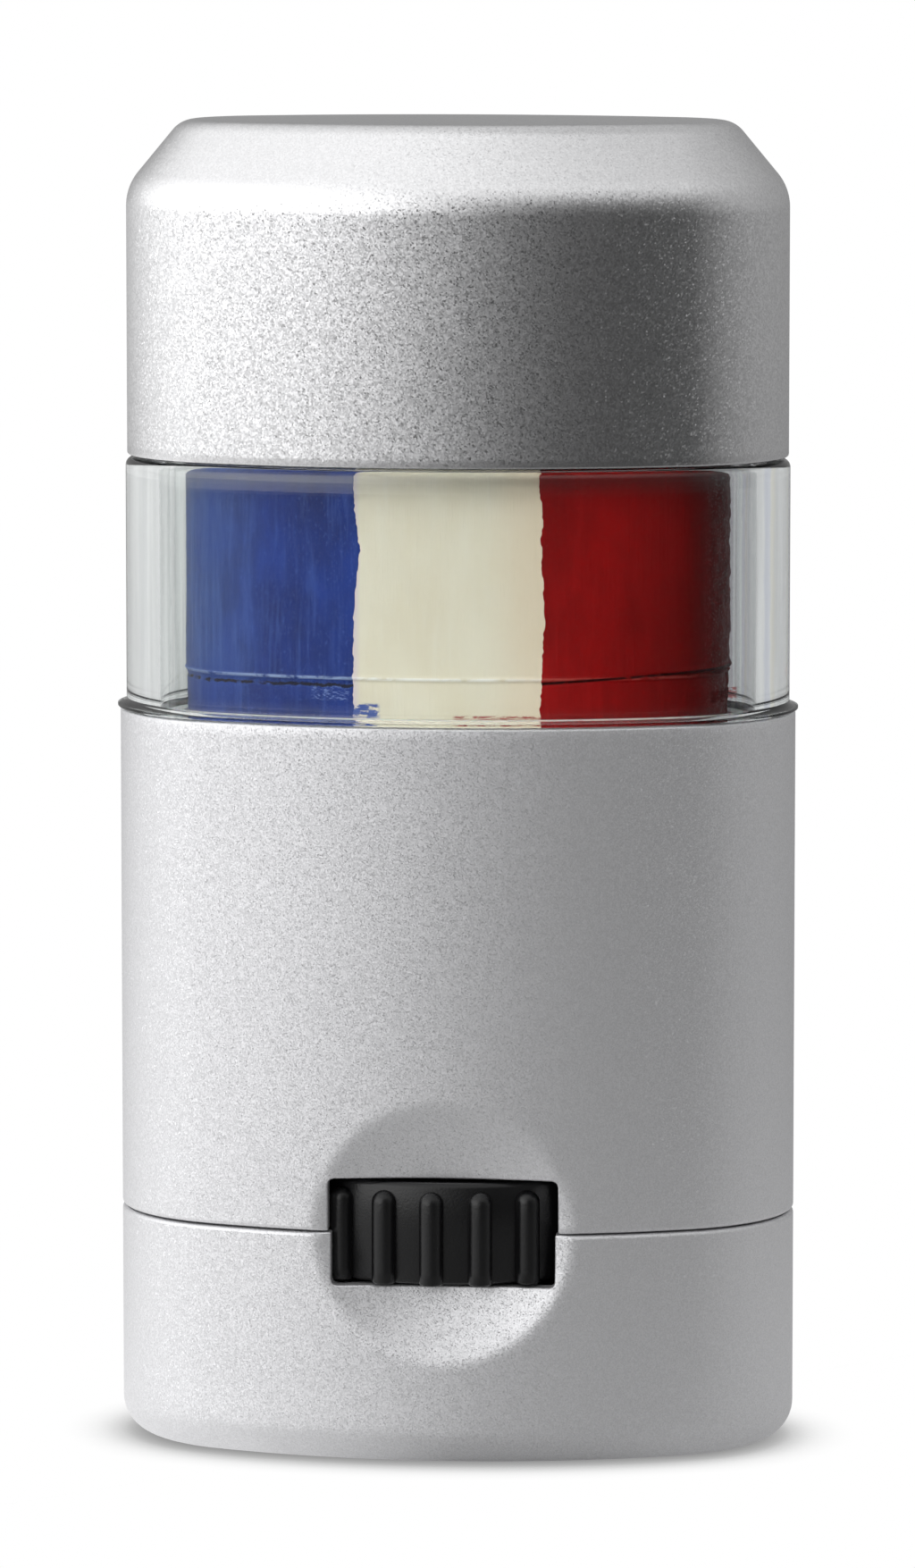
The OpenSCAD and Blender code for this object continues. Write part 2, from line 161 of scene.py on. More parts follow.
lift = mapRange(sky, parts.outputs[2], 0.25, 0.9, smooth=True)
seen = mixColor(sky, lift, (0, 0, 0), (0, 0, 0))
seenNode = seen.node
sky.links.new(brightness(studio["level"]), seenNode.inputs[6])
sky.links.new(brightness(studio["above"]), seenNode.inputs[7])
light = addNode(sky, "ShaderNodeBackground", {0: seen, 1: 3.0})
white = addNode(sky, "ShaderNodeBackground", {0: (1, 1, 1, 1), 1: 1.0})
rays = addNode(sky, "ShaderNodeLightPath")
behind = mapRange(sky, parts.outputs[1], 0.25, 0.6, smooth=True)
through = mathNode(sky, "MULTIPLY", rays.outputs["Is Transmission Ray"], behind)
whiteSeen = mathNode(sky, "MAXIMUM", rays.outputs["Is Camera Ray"], through)
once = mathNode(sky, "GREATER_THAN", rays.outputs["Diffuse Depth"], 0.5)
toPaint = mathNode(sky, "MULTIPLY", rays.outputs["Is Transmission Ray"], once)
# the clear hood holds back some of the light on its way to the paint, which is made up for here
gain = mapRange(sky, toPaint, 0, 1, 3.0, 3.0 * studio["hoodGain"])
even = addNode(sky, "ShaderNodeBackground", {0: brightness(studio["diffuse"]), 1: gain})
matt = mathNode(sky, "MAXIMUM", rays.outputs["Is Diffuse Ray"], toPaint)
lit = addNode(sky, "ShaderNodeMixShader", {0: matt, 1: light.outputs[0], 2: even.outputs[0]})
mixed = addNode(sky, "ShaderNodeMixShader", {0: whiteSeen, 1: lit.outputs[0], 2: white.outputs[0]})
addNode(sky, "ShaderNodeOutputWorld", {0: mixed.outputs[0]})

floorData = bpy.data.meshes.new("floor")
floorData.from_pydata([(-3, -3, 0), (3, -3, 0), (3, 3, 0), (-3, 3, 0)], [], [(0, 1, 2, 3)])
floor = bpy.data.objects.new("floor", floorData)
scene.collection.objects.link(floor)
paper, tree, surface, output, places = newMaterial("white_paper", Base_Color=(0.8, 0.8, 0.8, 1), Roughness=0.9)
near = addNode(tree, "ShaderNodeAmbientOcclusion", {"Distance": studio["shadowReach"] * mm}, samples=12)
tone = ramp(tree, near.outputs["AO"], [(0.0, 0.3), (0.45, 0.5), (0.75, 0.88), (0.95, 1.0)])
plain = addNode(tree, "ShaderNodeEmission", {0: tone, 1: 1.0})
rays = addNode(tree, "ShaderNodeLightPath")
across = addNode(tree, "ShaderNodeSeparateXYZ", {0: places})
through = mathNode(tree, "MULTIPLY", rays.outputs["Is Transmission Ray"], mapRange(tree, across.outputs[1], 20, 120, smooth=True))
direct = mathNode(tree, "MAXIMUM", rays.outputs["Is Camera Ray"], through)
turned = mathNode(tree, "ARCTAN2", across.outputs[0], mathNode(tree, "MULTIPLY", across.outputs[1], -1.0))
share = mapRange(tree, mathNode(tree, "SUBTRACT", turned, yaw), -math.pi, math.pi)
mirrored = ramp(tree, share, [((a + 180) / 360, v / 3) for a, v in studio["floor"]], "B_SPLINE")
beyond = ramp(tree, share, [((a + 180) / 360, v / 3) for a, v in studio["farFloor"]], "B_SPLINE")
reach = addNode(tree, "ShaderNodeVectorMath", {0: places}, operation="LENGTH").outputs["Value"]
away = mapRange(tree, reach, *studio["darkBand"][:2], smooth=True)
away = mathNode(tree, "MULTIPLY", away, mapRange(tree, reach, *studio["darkBand"][2:], 1, 0, smooth=True))
banded = mixColor(tree, away, (0, 0, 0), (0, 0, 0)).node
tree.links.new(mirrored, banded.inputs[6])
tree.links.new(beyond, banded.inputs[7])
close = mapRange(tree, reach, 30, 130, 1, 0, smooth=True)
lifted = vectorNode(tree, "SCALE", ramp(tree, share, [((a + 180) / 360, v / 3) for a, v in studio["nearFloor"]], "B_SPLINE"))
tree.links.new(close, lifted.node.inputs["Scale"])
tones = addNode(tree, "ShaderNodeVectorMath", {0: banded.outputs[2], 1: lifted}, operation="ADD").outputs[0]
shiny = addNode(tree, "ShaderNodeEmission", {0: tones, 1: 3.0})
soft = addNode(tree, "ShaderNodeMixShader", {0: rays.outputs["Is Glossy Ray"], 1: surface.outputs[0], 2: shiny.outputs[0]})
both = addNode(tree, "ShaderNodeMixShader", {0: direct, 1: soft.outputs[0], 2: plain.outputs[0]})
tree.links.new(both.outputs[0], output.inputs[0])
floorData.materials.append(paper)
print("camera, light and floor ready")


# ---------------------------------------------------------------- materials
def flakes(tree, surface, places, size, tilt, shade, base):
    """Small mirror flakes: each cell leans its own way and has its own tone."""
    cells = addNode(tree, "ShaderNodeTexVoronoi", {"Vector": vectorNode(tree, "SCALE", places, scale=1 / size), "Scale": 1.0})
    lean = vectorNode(tree, "SCALE", vectorNode(tree, "SUBTRACT", cells.outputs["Color"], (0.5, 0.5, 0.5)), scale=tilt)
    chance = addNode(tree, "ShaderNodeSeparateColor", {0: cells.outputs["Color"]})
    few = mathNode(tree, "MULTIPLY_ADD", mathNode(tree, "POWER", chance.outputs[0], 6.0), 2.4)
    few.node.inputs[2].default_value = 0.55
    lean = vectorNode(tree, "SCALE", lean)
    tree.links.new(few, lean.node.inputs["Scale"])
    normal = addNode(tree, "ShaderNodeNewGeometry").outputs["Normal"]
    tree.links.new(vectorNode(tree, "NORMALIZE", vectorNode(tree, "ADD", normal, lean)), surface.inputs["Normal"])
    tone = mapRange(tree, chance.outputs[2], 0, 1, 1 - shade, 1 + shade)
    made = vectorNode(tree, "SCALE", base)
    tree.links.new(tone, made.node.inputs["Scale"])
    return made


def over(tree, color, factor, tint):
    """Lays a tint over a colour that is already linked."""
    made = mixColor(tree, factor, (0, 0, 0), tint).node
    tree.links.new(color, made.inputs[6])
    return made.outputs[2]


def band(tree, value, low, high, soft):
    """1 between low and high, fading to 0 over soft on both sides."""
    rise = mapRange(tree, value, low - soft, low, smooth=True)
    fall = mapRange(tree, value, high, high + soft, 1, 0, smooth=True)
    return mathNode(tree, "MULTIPLY", rise, fall)


def smearAt(tree, places, across, x0, x1, z0, z1, size, low, high, soft=0.25):
    """A ragged smear inside a box on the front."""
    ragged = mapRange(tree, noiseNode(tree, places, size, 4, 0.7, (0.6, 1, 1.6)).outputs[0], low, high)
    inside = mathNode(tree, "MULTIPLY", band(tree, across.outputs[0], x0, x1, soft), band(tree, across.outputs[2], z0, z1, soft * 0.6))
    return mathNode(tree, "MULTIPLY", ragged, inside)


cover = {"tint": (0.79, 0.79, 0.80), "roughness": 0.3, "flake": 0.075, "tilt": 0.11, "shade": 0.09}
silverCover, tree, surface, output, places = newMaterial("silver_cover", Metallic=1.0, Roughness=cover["roughness"])
tree.links.new(flakes(tree, surface, places, cover["flake"], cover["tilt"], cover["shade"], cover["tint"]), surface.inputs["Base Color"])

case = {"tint": (0.73, 0.73, 0.745), "roughness": 0.42, "flake": 0.055, "tilt": 0.2, "shade": 0.08}
silverCase, tree, surface, output, places = newMaterial("silver_case", Metallic=0.78, Roughness=case["roughness"])
tree.links.new(flakes(tree, surface, places, case["flake"], case["tilt"], case["shade"], case["tint"]), surface.inputs["Base Color"])

# upright lines painted in the ends of the hood where they refract, the white one a painted highlight: place, half
# width, strength, tint
hoodLines = [
    (-16.0, 0.06, 0.5, (0.5, 0.52, 0.52)), (-15.05, 0.12, 0.6, (0.55, 0.57, 0.58)), (-14.05, 0.1, 0.55, (0.6, 0.62, 0.62)),
    (-13.5, 0.09, 0.9, (1, 1, 1)), (13.8, 0.03, 0.5, (0.35, 0.28, 0.36)), (14.05, 0.03, 0.4, (0.4, 0.35, 0.4)),
    (14.6, 0.07, 0.5, (0.42, 0.4, 0.45)), (15.5, 0.1, 0.5, (0.36, 0.4, 0.55)), (15.75, 0.06, 0.5, (0.6, 0.56, 0.4)),
]
clearPlastic, tree, surface, output, places = newMaterial(
    "clear_plastic", Roughness=0.02, IOR=1.49, Transmission_Weight=1.0)
across = addNode(tree, "ShaderNodeSeparateXYZ", {0: places})
# painted shade: the ends of the hood are tinted darker, the right end more than the left, away from the light
clear = ramp(tree, mapRange(tree, across.outputs[0], -17, 17), [
    (0.0, (0.77, 0.795, 0.79)), (0.12, (0.77, 0.795, 0.79)), (0.17, (0.96, 0.975, 0.97)),
    (0.83, (0.96, 0.975, 0.97)), (0.88, (0.61, 0.63, 0.63)), (1.0, (0.61, 0.63, 0.63))])
# upright streaks through the painted shade in the hood's ends, darker and lighter in turn
endStreaks = noiseNode(tree, places, 0.33, 3, 0.6, (1, 0.2, 0.015))
ends = mapRange(tree, mathNode(tree, "ABSOLUTE", across.outputs[0]), 12.2, 12.8, smooth=True)
endStreaks = mathNode(tree, "MULTIPLY", mapRange(tree, endStreaks.outputs[0], 0.36, 0.62, -0.2, 0.07), ends)
endStreaks = mathNode(tree, "ADD", endStreaks, 1.0)
clear = vectorNode(tree, "SCALE", clear)
tree.links.new(endStreaks, clear.node.inputs["Scale"])
wavy = mathNode(tree, "MULTIPLY_ADD", noiseNode(tree, places, 1.1, 2).outputs[0], 0.16)
wavy.node.inputs[2].default_value = -0.08
swayed = mathNode(tree, "ADD", across.outputs[0], wavy)
# lays the painted refraction lines and the one painted highlight over the hood's tint
for place, halfWidth, strength, tint in hoodLines:
    clear = over(tree, clear, mathNode(tree, "MULTIPLY", band(tree, swayed, place - halfWidth, place + halfWidth, 0.05), strength), tint)
clear = over(tree, clear, smearAt(tree, places, across, 12.95, 13.5, 37.5, 38.0, 0.25, 0.4, 0.5, 0.1), (0.3, 0.05, 0.05))
tree.links.new(clear, surface.inputs["Base Color"])

blackPlastic, tree, surface, output, places = newMaterial("black_plastic", Base_Color=(0.004, 0.004, 0.0045, 1), Roughness=0.3, Specular_IOR_Level=0.42)
grain = noiseNode(tree, places, 0.12, 3)
bump = addNode(tree, "ShaderNodeBump", {"Height": grain.outputs[0], "Strength": 0.12, "Distance": 0.0001})
tree.links.new(bump.outputs[0], surface.inputs["Normal"])

naturalPlastic, tree, surface, output, places = newMaterial(
    "natural_plastic", Base_Color=(0.8, 0.8, 0.76, 1), Roughness=0.42, Subsurface_Weight=0.15, Subsurface_Scale=0.001)
grain = noiseNode(tree, places, 0.3, 3)
bump = addNode(tree, "ShaderNodeBump", {"Height": grain.outputs[0], "Strength": 0.15, "Distance": 0.0001})
tree.links.new(bump.outputs[0], surface.inputs["Normal"])


def paintMaterial(name, base, deep, pale, ridge, rough, specular, streak=0.5):
    """Waxy paint: broad soft patches, upright drag streaks, fine dry scratches and a painted highlight along the ridge
    at the mould line.
    """
    made, tree, surface, output, places = newMaterial(name, Roughness=rough, Specular_IOR_Level=specular)
    across = addNode(tree, "ShaderNodeSeparateXYZ", {0: places})
    patches = noiseNode(tree, places, 3.0, 3, 0.55, (1, 1, 0.5))
    streaks = noiseNode(tree, places, 0.35, 4, 0.65, (1, 1, 0.08))
    specks = noiseNode(tree, places, 0.09, 2, 0.6, (1, 1, 0.5))
    color = mixColor(tree, mapRange(tree, patches.outputs[0], 0.38, 0.62), deep, base)
    color = over(tree, color, mapRange(tree, streaks.outputs[0], 0.5, 0.75, 0, streak), pale)
    color = over(tree, color, mapRange(tree, specks.outputs[0], 0.6, 0.74, 0, 0.6), pale)
    # painted highlight along the mould line's ridge, broken up by noise
    broken = mapRange(tree, noiseNode(tree, places, 0.6, 3, 0.6).outputs[0], 0.35, 0.5)
    line = mathNode(tree, "MULTIPLY", band(tree, across.outputs[2], 38.47, 38.55, 0.07), broken)
    color = over(tree, color, mathNode(tree, "MULTIPLY", line, 0.8), ridge)
    bump = addNode(tree, "ShaderNodeBump", {"Height": streaks.outputs[0], "Strength": 0.3, "Distance": 0.0001})
    tree.links.new(bump.outputs[0], surface.inputs["Normal"])
    return made, tree, surface, places, across, patches, streaks, color


bluePaint, tree, surface, places, across, patches, streaks, color = paintMaterial(
    "blue_paint", (0.006, 0.034, 0.235), (0.004, 0.02, 0.14), (0.05, 0.11, 0.38), (0.3, 0.4, 0.62), 0.42, 0.15)
# painted reflection of the silver cap: a greyer band at the top of the blue, just below the cap
capReflection = mapRange(tree, across.outputs[2], 47.6, 49.2, smooth=True)
# painted sheen: the left end of the blue is lighter where the block's curved end catches the bright surroundings at a
# grazing angle
side = mapRange(tree, across.outputs[0], -8.0, -13.2, 0, 0.75, smooth=True)
side = mathNode(tree, "MULTIPLY", side, mapRange(tree, across.outputs[2], 37.5, 39.5, 0.35, 1, smooth=True))
side = mathNode(tree, "MULTIPLY", side, mapRange(tree, streaks.outputs[0], 0.3, 0.6, 0.55, 1))
color = over(tree, color, side, (0.07, 0.13, 0.34))
# lays the painted reflection of the cap over the blue's top
color = over(tree, color, mathNode(tree, "MULTIPLY", capReflection, 0.75), (0.1, 0.13, 0.2))
color = over(tree, color, smearAt(tree, places, across, -6.4, -4.9, 37.5, 38.1, 0.14, 0.5, 0.62), (0.16, 0.24, 0.5))
shaken = mathNode(tree, "MULTIPLY_ADD", noiseNode(tree, places, 0.4, 4, 0.7).outputs[0], 0.3)
shaken.node.inputs[2].default_value = -0.15
height = mathNode(tree, "ADD", across.outputs[2], shaken)
rough = mathNode(tree, "MULTIPLY", band(tree, height, 38.05, 38.4, 0.08), mapRange(tree, noiseNode(tree, places, 0.16, 3, 0.7).outputs[0], 0.45, 0.65, 0, 0.7))
color = over(tree, color, rough, (0.03, 0.08, 0.3))
# painted shade in the broken crack under the ridge: a dark line
crack = mathNode(tree, "MULTIPLY", band(tree, height, 38.1, 38.2, 0.05), mapRange(tree, noiseNode(tree, places, 0.5, 2).outputs[0], 0.38, 0.48))
color = over(tree, color, crack, (0.001, 0.003, 0.02))
tree.links.new(color, surface.inputs["Base Color"])

creamPaint, tree, surface, places, across, patches, streaks, color = paintMaterial(
    "cream_paint", (0.77, 0.73, 0.58), (0.74, 0.69, 0.53), (0.8, 0.78, 0.66), (0.95, 0.95, 0.9), 0.45, 0.25, 0.35)
color = over(tree, color, mapRange(tree, across.outputs[0], 1.5, 4.4, 0, 0.45, smooth=True), (0.76, 0.6, 0.42))
color = over(tree, color, mapRange(tree, across.outputs[0], -4.1, -4.45, 0, 0.5, smooth=True), (0.6, 0.5, 0.6))
color = over(tree, color, smearAt(tree, places, across, -5.0, -3.4, 36.2, 37.2, 0.3, 0.42, 0.5), (0.05, 0.1, 0.35))
color = over(tree, color, smearAt(tree, places, across, 0.5, 5.0, 36.0, 36.6, 0.3, 0.45, 0.55), (0.35, 0.03, 0.03))
tree.links.new(color, surface.inputs["Base Color"])

redPaint, tree, surface, places, across, patches, streaks, color = paintMaterial(
    "red_paint", (0.28, 0.0015, 0.0015), (0.21, 0.001, 0.001), (0.33, 0.006, 0.006), (0.4, 0.06, 0.05), 0.42, 0.08, 0.4)
# painted shade: the red is darker towards its right, away from the light
color = over(tree, color, mapRange(tree, across.outputs[0], 6.0, 12.5, 0, 0.6, smooth=True), (0.06, 0.0015, 0.0015))
# painted shade under the cap: the red is darker towards the top
color = over(tree, color, mathNode(tree, "MULTIPLY", mapRange(tree, across.outputs[2], 47.5, 49.2, smooth=True), 0.55), (0.07, 0.003, 0.003))
# painted shade in the crack under the ridge: a dark line that rises a little to the right
tilted = mathNode(tree, "SUBTRACT", across.outputs[2], mathNode(tree, "MULTIPLY", across.outputs[0], 0.06))
crack = mathNode(tree, "MULTIPLY", band(tree, tilted, 38.0, 38.07, 0.06), mapRange(tree, noiseNode(tree, places, 0.6, 2).outputs[0], 0.3, 0.42))
color = over(tree, color, crack, (0.03, 0.001, 0.001))
# painted sheen: pale grey specks on the rough right end of the red, where it is seen at a grazing angle
rightEndSheen = mapRange(tree, noiseNode(tree, places, 0.1, 2, 0.6).outputs[0], 0.55, 0.68)
rightEndSheen = mathNode(tree, "MULTIPLY", rightEndSheen, mapRange(tree, across.outputs[0], 12.0, 13.2, 0, 0.5, smooth=True))
color = over(tree, color, rightEndSheen, (0.35, 0.3, 0.3))
tree.links.new(color, surface.inputs["Base Color"])
print("materials ready")

# ---------------------------------------------------------------- the case's oval
oval = {"halfWidth": 16.75, "halfDepth": 9.5}
unit = (oval["halfWidth"] - oval["halfDepth"]) / 4
endX, endRadius = 5 * unit, oval["halfDepth"] - unit
faceY, faceRadius = 12 * unit, 13 * unit + endRadius
meetAngle = math.atan2(5, 12)


def ovalPoint(a, inset):
    """Point on an inset of the oval whose outward normal is turned a from the middle of the front."""
    a = (a + math.pi) % (2 * math.pi) - math.pi
    if abs(a) <= meetAngle:
        cx, cy, r = 0, faceY, faceRadius
    elif abs(a) >= math.pi - meetAngle:
        cx, cy, r = 0, -faceY, faceRadius
    else:
        cx, cy, r = math.copysign(endX, a), 0, endRadius
    r = r - inset
    return cx + r * math.sin(a), cy - r * math.cos(a)


def ovalDepth(x, inset):
    """Half depth of an inset of the oval at x."""
    x = abs(x)
    if x <= endX + (endRadius - inset) * 5 / 13:
        return math.sqrt((faceRadius - inset) ** 2 - x * x) - faceY
    return math.sqrt(max(0, (endRadius - inset) ** 2 - (x - endX) ** 2))


def between(low, high, steps):
    return [low + (high - low) * i / steps for i in range(steps + 1)]


def roundOval(endSteps, faceSteps, marks=()):
    """Angles round the oval, from the middle of the back round through the left, front and right."""
    face = sorted(set(round(v, 9) for v in between(-meetAngle, meetAngle, faceSteps) + list(marks)))
    gap = meetAngle * 2 / faceSteps * 0.45
    kept = [v for v in face if v in [round(m, 9) for m in marks] or all(abs(v - m) > gap for m in marks)]
    end = between(meetAngle, math.pi - meetAngle, endSteps)[1:-1]
    return kept + end + [math.pi + v for v in kept] + [math.pi + v for v in end]


def arc(inset, z, r, start, stop, steps):
    """Points [inset, z] on an arc, with 0 degrees pointing inwards and 90 up."""
    return [(inset + r * math.cos(math.radians(t)), z + r * math.sin(math.radians(t))) for t in between(start, stop, steps)]


def meshObject(name, bm, material, smoothAngle=35):
    data = bpy.data.meshes.new(name)
    bm.to_mesh(data)
    bm.free()
    data.polygons.foreach_set("use_smooth", [True] * len(data.polygons))
    data.set_sharp_from_angle(angle=math.radians(smoothAngle))
    data.materials.append(material)
    made = bpy.data.objects.new(name, data)
    scene.collection.objects.link(made)
    return made


def sweep(bm, angles, profile, closed, place=None):
    """Quads round the oval along a profile of [inset, z]. An open profile gets a flat lid at each end."""
    place = place or (lambda a, j: (*ovalPoint(a, profile[j][0]), profile[j][1]))
    rings = [[bm.verts.new([v * mm for v in place(a, j)]) for a in angles] for j in range(len(profile))]
    count = len(angles)
    for j in range(len(profile) if closed else len(profile) - 1):
        low, high = rings[j], rings[(j + 1) % len(profile)]
        for i in range(count):
            k = (i + 1) % count
            bm.faces.new((low[i], low[k], high[k], high[i]))
    if not closed:
        bm.faces.new(list(reversed(rings[0])))
        bm.faces.new(rings[-1])
    return rings


def bevel(piece, width, angle=40, segments=2):
    made = piece.modifiers.new("edges", "BEVEL")
    made.width, made.segments = width * mm, segments
    made.limit_method, made.angle_limit = "ANGLE", math.radians(angle)
    made.use_clamp_overlap = False
    made.harden_normals = False
    return piece


def finish(piece, body, slot, *nodes):
    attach(piece, body)
    if nodes:
        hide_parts(*nodes)
    return piece


# ---------------------------------------------------------------- cap cover
cap = {
    "inset": 0.38, "wall": 1.0, "low": 49.0, "top": 65.5,
    "kneeRadius": 2.6, "slope": 39.6, "crownRadius": 1.4, "shoulder": 3.4, "edge": 0.12,
}
run = cap["shoulder"] - cap["kneeRadius"] * (1 - math.cos(math.radians(cap["slope"]))) - cap["crownRadius"] * math.cos(math.radians(cap["slope"]))
rise = run / math.tan(math.radians(cap["slope"]))
kneeZ = cap["top"] - cap["crownRadius"] * (1 - math.sin(math.radians(cap["slope"]))) - rise - cap["kneeRadius"] * math.sin(math.radians(cap["slope"]))
crownZ = cap["top"] - cap["crownRadius"]
kneeX, crownX = cap["inset"] + cap["kneeRadius"], cap["inset"] + cap["shoulder"]


def capProfile():
    flat = 180 - cap["slope"]
    inner = [(6.5, cap["top"] - cap["wall"])]
    inner += arc(crownX, crownZ, cap["crownRadius"] - cap["wall"], 90, flat, 4)
    inner += arc(kneeX, kneeZ, cap["kneeRadius"] - cap["wall"], flat, 180, 6)
    inner += [(cap["inset"] + cap["wall"], cap["low"] + 0.1), (cap["inset"] + cap["wall"] - 0.1, cap["low"])]
    outer = arc(cap["inset"] + cap["edge"], cap["low"] + cap["edge"], cap["edge"], 270, 180, 3)
    outer += [(cap["inset"], z) for z in between(cap["low"] + 0.5, kneeZ - 0.4, 12)]
    outer += arc(kneeX, kneeZ, cap["kneeRadius"], 180, flat, 12)
    outer += arc(crownX, crownZ, cap["crownRadius"], flat, 90, 8)
    return inner + outer + [(6.5, cap["top"])]


bm = bmesh.new()
sweep(bm, roundOval(64, 72), capProfile(), False)
capCover = meshObject("cap_cover_shell", bm, silverCover, 60)
finish(capCover, "cap", "silver_cover", "cap_cover")
print("cap cover made")

# ---------------------------------------------------------------- clear hood
hood = {
    "plugLow": 31.0, "plugInset": 1.1, "inner": 1.95, "foot": 36.48, "flare": 0.13, "footHeight": 0.46,
    "inset": 0.3, "shoulder": 48.85, "shoulderRound": 0.4, "neck": 1.35, "neckBore": 2.35, "roof": 61.35, "roofWall": 1.0,
}


def hoodProfile():
    top = hood["roof"] + hood["roofWall"]
    inner = [(6.5, hood["roof"])] + arc(hood["neckBore"] + 0.6, hood["roof"] - 0.6, 0.6, 90, 180, 6)
    inner += [(hood["neckBore"], hood["shoulder"] + 1)]
    inner += [(hood["inner"], z) for z in between(hood["shoulder"] - 0.6, hood["plugLow"] + 0.12, 24)]
    inner += [(hood["inner"] - 0.12, hood["plugLow"]), (hood["plugInset"] + 0.12, hood["plugLow"])]
    outer = [(hood["plugInset"], z) for z in between(hood["plugLow"] + 0.12, hood["foot"] - 0.06, 6)]
    outer += [(hood["plugInset"] - 0.06, hood["foot"]), (-hood["flare"] + 0.05, hood["foot"]), (-hood["flare"], hood["foot"] + 0.05)]
    flare = hood["inset"] + hood["flare"]
    for t in between(0, 90, 10):
        s, c = math.sin(math.radians(t)), math.cos(math.radians(t))
        outer.append((hood["inset"] - flare * (1 - s), hood["foot"] + 0.15 + (hood["footHeight"] - 0.15) * (1 - c)))
    outer += [(hood["inset"], z) for z in between(hood["foot"] + 1, hood["shoulder"] - 0.8, 22)]
    outer += arc(hood["inset"] + hood["shoulderRound"], hood["shoulder"] - hood["shoulderRound"], hood["shoulderRound"], 180, 90, 6)
    outer += [(hood["neck"], hood["shoulder"]), (hood["neck"], hood["shoulder"] + 0.1), (hood["neck"], top - 1.3)]
    return inner + outer + arc(hood["neck"] + 1.2, top - 1.2, 1.2, 180, 90, 6) + [(6.5, top)]


bm = bmesh.new()
sweep(bm, roundOval(72, 72), hoodProfile(), False)
clearHood = meshObject("clear_hood_shell", bm, clearPlastic, 40)
finish(clearHood, "cap", "clear_plastic", "clear_hood")
print("clear hood made")

# ---------------------------------------------------------------- sleeve and base, with dish and window
dish = {"width": 12.7, "depth": 1.3, "z": 11.5, "soft": 0.1}
window = {"halfSleeve": 5.65, "halfBase": 5.5, "low": 8.85, "high": 14.15, "corner": 0.3, "bevel": 0.07}
half = dish["width"] / 2
faceSag = faceRadius - math.sqrt(faceRadius ** 2 - half ** 2)
upRadius = (half ** 2 + dish["depth"] ** 2) / (2 * dish["depth"])
sideRadius = (half ** 2 + (dish["depth"] - faceSag) ** 2) / (2 * (dish["depth"] - faceSag))


def dished(x, z, depth, skin):
    """Half depth at x, z once the finger dish is pressed in, with a soft edge."""
    up = (upRadius + skin) ** 2 - (z - dish["z"]) ** 2
    if up <= 0:
        return depth
    r = sideRadius - upRadius + math.sqrt(up)
    if r <= abs(x):
        return depth
    cut = oval["halfDepth"] - dish["depth"] + sideRadius - math.sqrt(r * r - x * x)
    h = min(1, max(0, 0.5 + 0.5 * (cut - depth) / dish["soft"]))
    return cut * (1 - h) + depth * h - dish["soft"] * h * (1 - h) if abs(x) < 9 else depth


def notched(name, profile, rows, halfWindow, edgeZ, up, closed, material):
    """A swept shell with the dish pressed in and a window notch in its edge. rows is (outer, inner) rows of the notch,
    matched in height, from the shell's edge to the window's end."""
    c = window["corner"]
    marks = []
    for x in (halfWindow, halfWindow - c * 0.45, halfWindow - c):
        a = math.asin(x / (faceRadius - 0.5))
        marks += [a, -a]
    angles = roundOval(48, 84, marks)
    cut = math.asin(halfWindow / (faceRadius - 0.5))
    inRows = set(rows[0]) | set(rows[1])

    def place(a, j):
        inset, z = profile[j]
        x, y = ovalPoint(a, inset)
        around = (a + math.pi / 2) % math.pi - math.pi / 2
        back = -1 if y > 0 else 1
        if abs(y) < ovalDepth(0, inset) * 0.5 or abs(x) > 9:
            return x, y, z
        if j in inRows and abs(abs(around) - cut) < 0.02:
            x = math.copysign(halfWindow - (faceRadius - 0.5) * (math.sin(cut) - math.sin(abs(around))), x)
        # the notch's corners are rounded by moving its own edge
        onSide = j in inRows and abs(abs(around) - cut) < 1e-7
        onEnd = j in (rows[0][-1], rows[1][-1]) and abs(around) < cut + 1e-7
        ax, out = abs(x), (z - edgeZ) * up
        if onSide and onEnd:
            x, z = math.copysign(halfWindow - c * (1 - math.sqrt(0.5)), x), edgeZ - up * c * (1 - math.sqrt(0.5))
        elif onSide and -c < out <= 0:
            x = math.copysign(halfWindow - (c - math.sqrt(c * c - (out + c) ** 2)), x)
        elif onEnd and ax > halfWindow - c:
            z = edgeZ - up * (c - math.sqrt(max(0, c * c - (ax - halfWindow + c) ** 2)))
        depth = dished(x, z, ovalDepth(x, inset), inset if inset > 0.5 else 0)
        return x, -back * depth, z

    bm = bmesh.new()
    rings = sweep(bm, angles, profile, closed, place)
    bm.verts.ensure_lookup_table()
    size = len(profile)
    order = list(reversed(rows[1])) + rows[0] if up > 0 else rows[0][::-1] + rows[1]
    spans = {(order[k], order[k + 1]) for k in range(len(order) - 1)} | {(order[k + 1], order[k]) for k in range(len(order) - 1)}
    doomed, sides = [], []
    for i, a in enumerate(angles):
        k = (i + 1) % len(angles)
        middle = (a + (angles[k] - a) / 2 + math.pi / 2) % math.pi - math.pi / 2
        if abs(middle) < cut and abs(angles[k] - a) < 1:
            for j, l in spans:
                low, high = rings[j], rings[l]
                if (j + 1) % size == l:
                    found = bm.faces.get((low[i], low[k], high[k], high[i]))
                    if found:
                        doomed.append(found)
            sides.append(i)
    bmesh.ops.delete(bm, geom=doomed, context="FACES")
    outer, inner = rows
    for i in sides:
        k = (i + 1) % len(angles)
        for edge in (i, k):
            around = (angles[edge] + math.pi / 2) % math.pi - math.pi / 2
            if abs(abs(around) - cut) < 1e-7:
                for n in range(len(outer) - 1):
                    corners = [rings[outer[n]][edge], rings[outer[n + 1]][edge], rings[inner[n + 1]][edge], rings[inner[n]][edge]]
                    if not bm.faces.get(corners):
                        bm.faces.new(corners)
        bm.faces.new([rings[outer[-1]][i], rings[outer[-1]][k], rings[inner[-1]][k], rings[inner[-1]][i]])
    bmesh.ops.delete(bm, geom=[v for v in bm.verts if not v.link_faces], context="VERTS")
    bmesh.ops.recalc_face_normals(bm, faces=bm.faces)
    return bm


